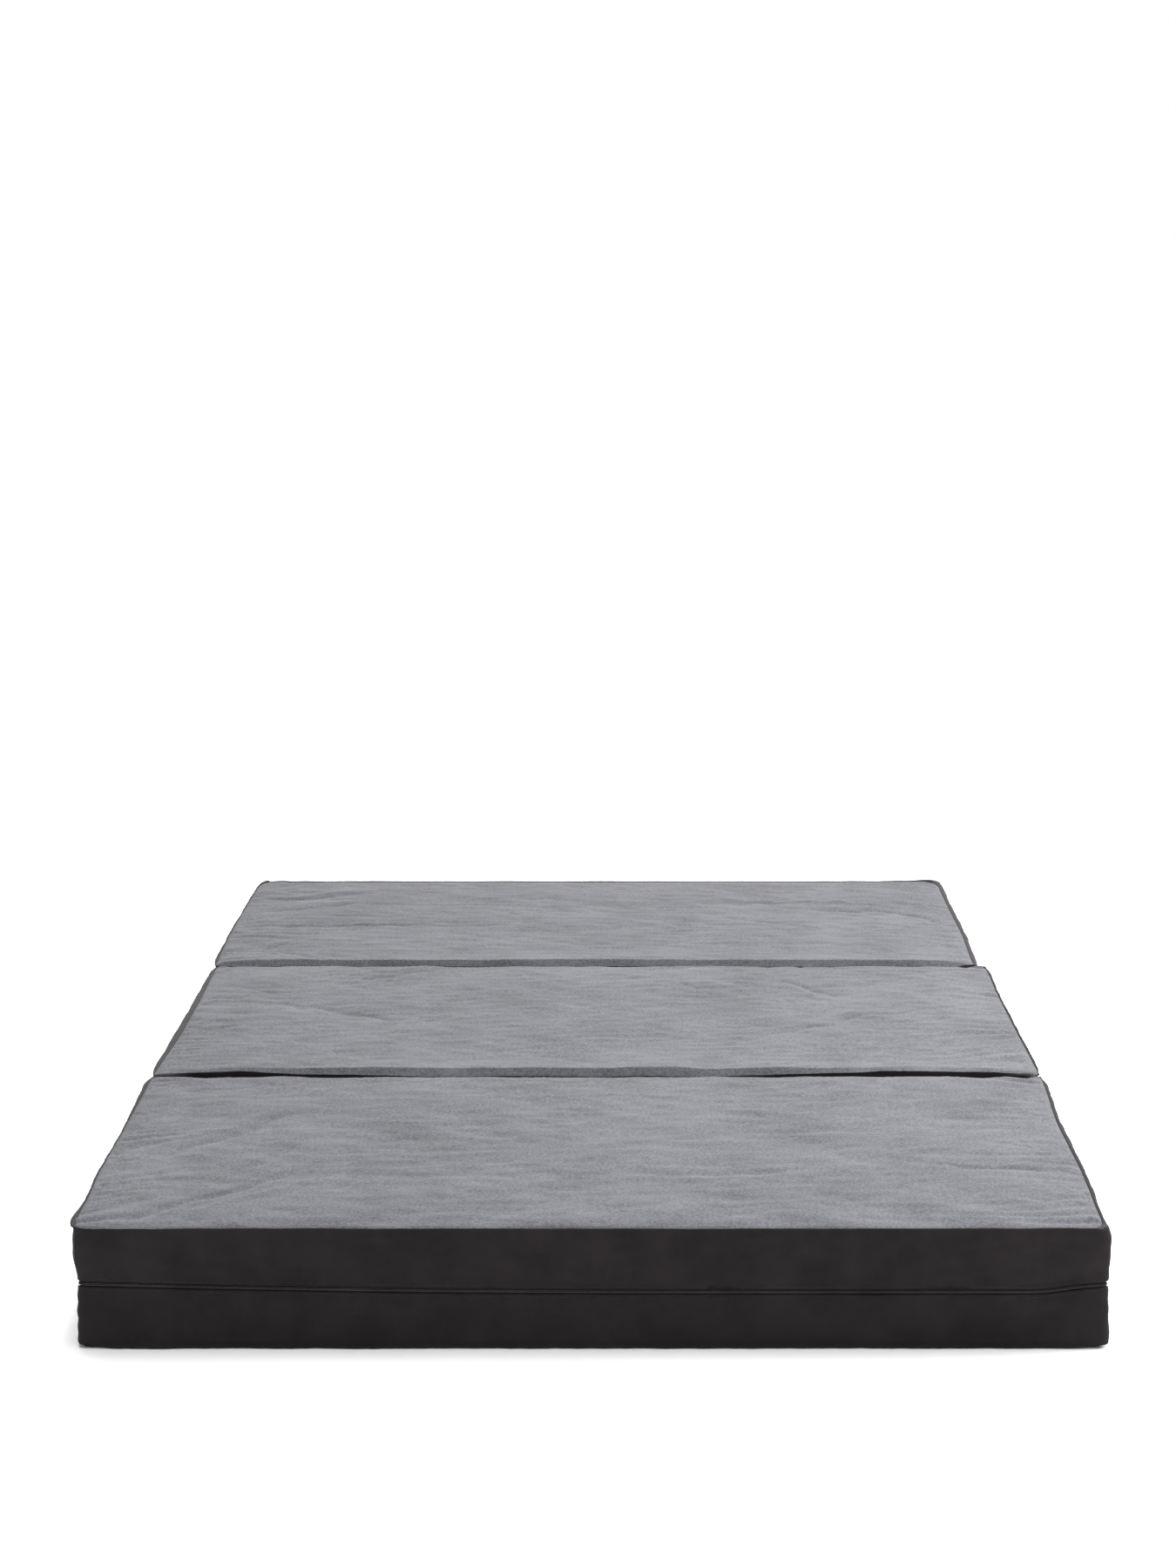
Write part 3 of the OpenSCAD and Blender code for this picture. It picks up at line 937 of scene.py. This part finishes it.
def hinge_cloth(title, y_low, y_high, leg_z, bend_z, node):
    """A strip in a loop: down one leg, round a half circle and up the other, along X.

    The loop's points are the two legs and the half circle between them. Small waves along X
    keep the strip from looking pressed.
    """
    centre, half = (y_low + y_high) / 2, (y_high - y_low) / 2
    turn = math.copysign(1.0, leg_z - bend_z)
    angle = np.linspace(0, math.pi, 13)
    legs = np.linspace(leg_z, bend_z + turn * half, 6)[:-1]
    y = np.concatenate([np.full(5, y_low), centre - half * np.cos(angle), np.full(5, y_high)])
    z = np.concatenate([legs, bend_z + turn * half * (1 - np.sin(angle)), legs[::-1]])
    x = np.linspace(-HINGE_X, HINGE_X, 180)
    px, py = np.meshgrid(x, y, indexing="ij")
    pz = np.broadcast_to(z, px.shape) + 0.4 * MM * waves(81, 12, 0.03, 0.2, px) * np.sign(turn)
    points = np.stack([px, py, np.maximum(pz, 0.8 * MM)], axis=-1)
    made = grid_piece(title, points, flip=turn < 0, thickness=0.5 * MM)
    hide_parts(node)
    with bpy.context.temp_override(active_object=made, object=made, selected_objects=[made]):
        bpy.ops.object.modifier_apply(modifier="thickness")
    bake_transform(made)
    return made


BASE_GAP = (ENDS_Y["front"][1], ENDS_Y["middle"][0])
TOP_GAP = (ENDS_Y["middle"][1], ENDS_Y["back"][0])
base_hinge = hinge_cloth("base_hinge_cloth", BASE_GAP[0] + 0.6 * MM, BASE_GAP[1] - 0.6 * MM, 11 * MM,
                         1.2 * MM, "base_hinge_web")
top_hinge = hinge_cloth("top_hinge_cloth", TOP_GAP[0] + 0.6 * MM, TOP_GAP[1] - 0.6 * MM, TOP_Z - 2.5 * MM,
                        TOP_Z - 11 * MM, "top_hinge_web")
print("hinge cloths:", base_hinge.name, top_hinge.name)

# %% [markdown]
# ## Tools for finishes
# A finish is a small tree of nodes. One function adds a node, sets it and links its inputs.
# Colours are written as sRGB hex, as on a colour chart, and turned to linear light once.

# %% Colour and nodes
def linear(hex_colour):
    """An sRGB hex colour as linear red, green, blue and alpha."""
    parts = [int(hex_colour[i:i + 2], 16) / 255 for i in (0, 2, 4)]
    light = [p / 12.92 if p <= 0.04045 else ((p + 0.055) / 1.055) ** 2.4 for p in parts]
    return (*light, 1.0)


def add(tree, kind, inputs=None, **settings):
    """Adds a node. Settings are its own, and each input takes a value or another's output."""
    made = tree.nodes.new("ShaderNode" + kind)
    for title, value in settings.items():
        setattr(made, title, value)
    for title, value in (inputs or {}).items():
        if isinstance(value, bpy.types.NodeSocket):
            tree.links.new(value, made.inputs[title])
        else:
            made.inputs[title].default_value = value
    return made


def two_tone(tree, amount, dark, light, low=0.0, high=1.0):
    """A colour between two hex colours: dark up to low, light from high on."""
    ramp = add(tree, "ValToRGB", {"Fac": amount})
    for element, place, colour in zip(ramp.color_ramp.elements, (low, high), (dark, light)):
        element.position = place
        element.color = linear(colour)
    return ramp.outputs[0]


def start_material(title):
    """A new material, and its tree with every node taken out."""
    made = bpy.data.materials.new(title)
    made.use_nodes = True
    made.node_tree.nodes.clear()
    return made, made.node_tree


def finish_material(tree, inputs):
    """Gives the material its shader, with these inputs, and links it to the output."""
    shader = add(tree, "BsdfPrincipled", inputs)
    add(tree, "OutputMaterial", {"Surface": shader.outputs[0]})


# %% [markdown]
# ## Brushed grey velour
# Velour is a knit with a cut pile about 2 mm deep. Where it was stroked or pressed the pile
# leans another way and looks lighter or darker, so the colour is mottled, in streaks across
# the mattress. The real pile is far finer than a render shows: its grain is drawn at about 2
# to 4 mm. Sheen gives the soft light edge that all pile has.

# %% Velour
def brushed_velour():
    """Grey pile: streaks and mottling in colour, and a fine grain in the bump."""
    made, tree = start_material("brushed_grey_velour")
    place = add(tree, "TexCoord").outputs["Object"]
    streak = add(tree, "Mapping", {"Vector": place, "Scale": (0.35, 1.0, 1.0)})
    patches = add(tree, "TexNoise", {
        "Vector": streak.outputs[0], "Scale": 42.0, "Detail": 5.0, "Roughness": 0.65})
    large = add(tree, "TexNoise", {"Vector": place, "Scale": 5.5, "Detail": 4.0, "Roughness": 0.6})
    grain = add(tree, "TexNoise", {"Vector": place, "Scale": 260.0, "Detail": 3.0, "Roughness": 0.75})
    mixed = add(tree, "Math", {0: patches.outputs[0], 1: 0.8, 2: large.outputs[0]},
                operation="MULTIPLY_ADD")
    shade = add(tree, "Math", {0: grain.outputs[0], 1: 2.4, 2: mixed.outputs[0]}, operation="MULTIPLY_ADD")
    spread = add(tree, "MapRange", {"Value": shade.outputs[0], "From Min": 1.5, "From Max": 2.6})
    colour = two_tone(tree, spread.outputs[0], "3f3f43", "6c6d71")
    pile = add(tree, "TexNoise", {"Vector": place, "Scale": 420.0, "Detail": 2.0})
    bump = add(tree, "Bump", {"Height": pile.outputs[0], "Strength": 0.35, "Distance": 0.6 * MM})
    soft = add(tree, "Bump", {"Height": patches.outputs[0], "Strength": 0.5, "Distance": 1.0 * MM,
                              "Normal": bump.outputs[0]})
    finish_material(tree, {
        "Base Color": colour, "Roughness": 0.92, "Specular IOR Level": 0.15, "Sheen Weight": 0.12,
        "Sheen Roughness": 0.45, "Sheen Tint": (0.9, 0.9, 0.95, 1.0), "Normal": soft.outputs[0]})
    return made


# %% [markdown]
# ## Black woven polyester
# The walls are a close plain weave. Its threads are about 0.25 mm, so the weave is drawn at 1.2
# mm to show at all. It follows the cloth by its UV map, which is in metres.

# %% Woven cloths
def woven(title, dark, light, pitch, sheen, roughness):
    """A plain weave: threads along U and V by turns, in the bump and faintly in the colour."""
    made, tree = start_material(title)
    cloth = add(tree, "UVMap", uv_map="cloth").outputs[0]
    place = add(tree, "TexCoord").outputs["Object"]
    parts = add(tree, "SeparateXYZ", {"Vector": cloth})
    turn = math.pi / pitch
    threads = []
    for part in (parts.outputs[0], parts.outputs[1]):
        phase = add(tree, "Math", {0: part, 1: turn}, operation="MULTIPLY")
        threads.append(add(tree, "Math", {0: phase.outputs[0]}, operation="SINE").outputs[0])
    cross = add(tree, "Math", {0: threads[0], 1: threads[1]}, operation="MULTIPLY")
    blotch = add(tree, "TexNoise", {"Vector": place, "Scale": 14.0, "Detail": 5.0, "Roughness": 0.6})
    shade = add(tree, "Math", {0: cross.outputs[0], 1: 0.12, 2: blotch.outputs[0]},
                operation="MULTIPLY_ADD")
    colour = two_tone(tree, shade.outputs[0], dark, light, 0.3, 0.75)
    bump = add(tree, "Bump", {"Height": cross.outputs[0], "Strength": 0.35, "Distance": 0.15 * MM})
    finish_material(tree, {
        "Base Color": colour, "Roughness": roughness, "Specular IOR Level": 0.12,
        "Sheen Weight": sheen, "Sheen Roughness": 0.4, "Normal": bump.outputs[0]})
    return made


# %% [markdown]
# ## Nylon, thread, enamelled zinc and foam
# The coil is dull extruded nylon. The slider is die-cast zinc under black enamel, worn to the
# metal's grey in spots. Foam is a matt mass of open cells, with painted shade in each cell.

# %% Small finishes
def extruded_nylon():
    """Black nylon, dull, with faint drawing marks along the coil."""
    made, tree = start_material("extruded_black_nylon")
    place = add(tree, "TexCoord").outputs["Object"]
    marks = add(tree, "TexNoise", {"Vector": place, "Scale": 900.0, "Detail": 2.0})
    colour = two_tone(tree, marks.outputs[0], "1f1e20", "2d2b2e")
    bump = add(tree, "Bump", {"Height": marks.outputs[0], "Strength": 0.2, "Distance": 0.05 * MM})
    finish_material(tree, {
        "Base Color": colour, "Roughness": 0.62, "IOR": 1.53, "Normal": bump.outputs[0]})
    return made


def spun_thread():
    """Black polyester thread: two plies, seen as a slanting ripple."""
    made, tree = start_material("spun_black_thread")
    place = add(tree, "TexCoord").outputs["Object"]
    plies = add(tree, "TexWave", {"Vector": place, "Scale": 260.0, "Distortion": 1.5},
                bands_direction="DIAGONAL")
    colour = two_tone(tree, plies.outputs[0], "1d1c1e", "343235")
    bump = add(tree, "Bump", {"Height": plies.outputs[0], "Strength": 0.4, "Distance": 0.1 * MM})
    finish_material(tree, {
        "Base Color": colour, "Roughness": 0.7, "Specular IOR Level": 0.3,
        "Normal": bump.outputs[0]})
    return made


def enamelled_zinc():
    """Black enamel on cast zinc, rubbed through in spots."""
    made, tree = start_material("enamelled_cast_zinc")
    place = add(tree, "TexCoord").outputs["Object"]
    rubs = add(tree, "TexNoise", {"Vector": place, "Scale": 380.0, "Detail": 5.0, "Roughness": 0.65})
    colour = two_tone(tree, rubs.outputs[0], "2a292b", "6f6e72", 0.45, 0.8)
    gloss = add(tree, "MapRange", {"Value": rubs.outputs[0], "To Min": 0.28, "To Max": 0.5})
    bump = add(tree, "Bump", {"Height": rubs.outputs[0], "Strength": 0.15, "Distance": 0.1 * MM})
    finish_material(tree, {
        "Base Color": colour, "Roughness": gloss.outputs[0], "Metallic": 0.85,
        "Normal": bump.outputs[0]})
    return made


def cut_foam(title, dark, light, cell):
    """Foam cut from a block: open cells as small pits in the bump, with painted shade that darkens the
    colour in each pit.
    """
    made, tree = start_material(title)
    place = add(tree, "TexCoord").outputs["Object"]
    cells = add(tree, "TexVoronoi", {"Vector": place, "Scale": 1 / cell})
    # Painted shade: the colour is darkest at the middle of each cell, where the bump sinks into a pit.
    colour = two_tone(tree, cells.outputs["Distance"], dark, light)
    bump = add(tree, "Bump", {"Height": cells.outputs["Distance"], "Strength": 0.6, "Distance": 0.8 * MM})
    finish_material(tree, {
        "Base Color": colour, "Roughness": 0.95, "Normal": bump.outputs[0]})
    return made


# %% [markdown]
# ## Dressing the pieces
# Each piece takes the finish of what it is made of. The stops, the sliders and their pulls are
# CAD parts whose shape is already right, so they only get a finish.

# %% Finishes on pieces
VELOUR = brushed_velour()
WALL_CLOTH = woven("plain_weave_black_polyester", "1b1819", "272325", 1.2 * MM, 0.10, 0.8)
BASE_CLOTH = woven("plain_weave_base_polyester", "1c1b1e", "29272b", 1.6 * MM, 0.08, 0.85)
TAPE_CLOTH = woven("woven_zip_tape_polyester", "29272a", "39373a", 0.9 * MM, 0.10, 0.75)
NYLON = extruded_nylon()
THREAD = spun_thread()
ZINC = enamelled_zinc()
FIRM_FOAM = cut_foam("cut_firm_polyurethane_foam", "cfc7a4", "e6dfc0", 1.6 * MM)
MEMORY_FOAM = cut_foam("cut_memory_foam", "ded5bb", "f1ead6", 1.1 * MM)


def dress(piece, material):
    """Gives a piece one finish in place of any it had."""
    piece.data.materials.clear()
    piece.data.materials.append(material)


FINISH = {
    "top": VELOUR, "upper": WALL_CLOTH, "lower": WALL_CLOTH, "base": BASE_CLOTH, "upper tape": TAPE_CLOTH,
    "lower tape": TAPE_CLOTH, "teeth": NYLON, "thread": THREAD, "firm foam": FIRM_FOAM,
    "memory foam": MEMORY_FOAM,
}
for name in SECTIONS:
    for part, piece in PIECES[name].items():
        dress(piece, FINISH[part])
    for node in ("zip_stops", "zip_slider", "zip_pull"):
        dress(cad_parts[name + "_" + node], ZINC)
dress(base_hinge, BASE_CLOTH)
dress(top_hinge, VELOUR)
print("finishes:", len(bpy.data.materials))

# %% [markdown]
# ## Floor, light and camera
# The mattress lies on a plain white studio floor. Soft light comes from overhead, a harder one
# comes low from behind and shows the folds, and a lamp stands near the right. A last one lights
# the floor alone and keeps it white. The camera stands in front, 1.4 m up, with a long lens.

# %% Studio
def studio_floor():
    """A wide white floor."""
    size = 30.0
    mesh = bpy.data.meshes.new("studio_floor")
    corners = [(-size, -size, 0), (size, -size, 0), (size, size, 0), (-size, size, 0)]
    mesh.from_pydata(corners, [], [(0, 1, 2, 3)])
    floor = link_mesh("studio_floor", mesh)
    made, tree = start_material("painted_white_floor")
    place = add(tree, "TexCoord").outputs["Object"]
    dust = add(tree, "TexNoise", {"Vector": place, "Scale": 30.0})
    colour = two_tone(tree, dust.outputs[0], "f8f8f8", "fcfcfc")
    finish_material(tree, {
        "Base Color": colour, "Roughness": 0.9, "Specular IOR Level": 0.1})
    dress(floor, made)
    return floor


def studio_world(seen, cast):
    """A white surround: bright where it is seen, and weaker as a source of light."""
    world = bpy.data.worlds.new("studio")
    bpy.context.scene.world = world
    world.use_nodes = True
    tree = world.node_tree
    tree.nodes.clear()
    ray = add(tree, "LightPath").outputs["Is Camera Ray"]
    strength = add(tree, "MapRange", {"Value": ray, "To Min": cast, "To Max": seen})
    shader = add(tree, "Background", {"Color": (1.0, 1.0, 1.0, 1.0), "Strength": strength.outputs[0]})
    add(tree, "OutputWorld", {"Surface": shader.outputs[0]})


def aim(lamp, place, target):
    """Puts a lamp at a place and turns its beam to a target."""
    lamp.location = place
    lamp.rotation_euler = (Vector(target) - Vector(place)).to_track_quat("-Z", "Y").to_euler()


def lamp(title, kind, energy, place, target, **settings):
    """A lamp of one kind, aimed at a target."""
    light = bpy.data.lights.new(title, kind)
    light.energy = energy
    for key, value in settings.items():
        setattr(light, key, value)
    made = bpy.data.objects.new(title, light)
    bpy.context.scene.collection.objects.link(made)
    aim(made, place, target)
    return made


floor = studio_floor()
studio_world(seen=1.0, cast=0.5)
lamp("overhead", "SUN", 1.9, (0.1, -0.1, 3.0), (0, 0, 0), angle=math.radians(45))
lamp("low_from_behind", "SUN", 3.3, (0.1, 0.86, 0.46), (0, 0, 0), angle=math.radians(10))
lamp("near_the_right", "AREA", 80.0, (2.4, -0.4, 1.3), (0.4, -0.3, 0.1), size=1.2)
on_floor = lamp("on_the_floor_only", "SUN", 1.2, (0.0, 1.5, 2.4), (0, 0, 0), angle=math.radians(50))
only_floor = bpy.data.collections.new("floor_lit_alone")
only_floor.objects.link(floor)
on_floor.light_linking.receiver_collection = only_floor

# %% Camera
LENS = 58.3
SHIFT_X = -0.0195
CAMERA_X = 0.0347
CAMERA_BEFORE_FRONT = 3.121
CAMERA_HEIGHT = 1.3967
TILT_DOWN = math.radians(11.59)

camera_data = bpy.data.cameras.new("camera")
camera_data.lens = LENS
camera_data.sensor_width = 36.0
camera_data.clip_end = 60.0
camera = bpy.data.objects.new("camera", camera_data)
bpy.context.scene.collection.objects.link(camera)
camera_data.shift_x = SHIFT_X
camera.location = (CAMERA_X, FRONT_Y - CAMERA_BEFORE_FRONT, CAMERA_HEIGHT)
camera.rotation_euler = (math.radians(90) - TILT_DOWN, 0.0, 0.0)
bpy.context.scene.camera = camera
bpy.context.scene.view_settings.view_transform = "Standard"
print("camera at", tuple(camera.location))

# %% [markdown]
# ## The last step
# The scene is brought up to date once more.

# %% Finish
bpy.context.view_layer.update()
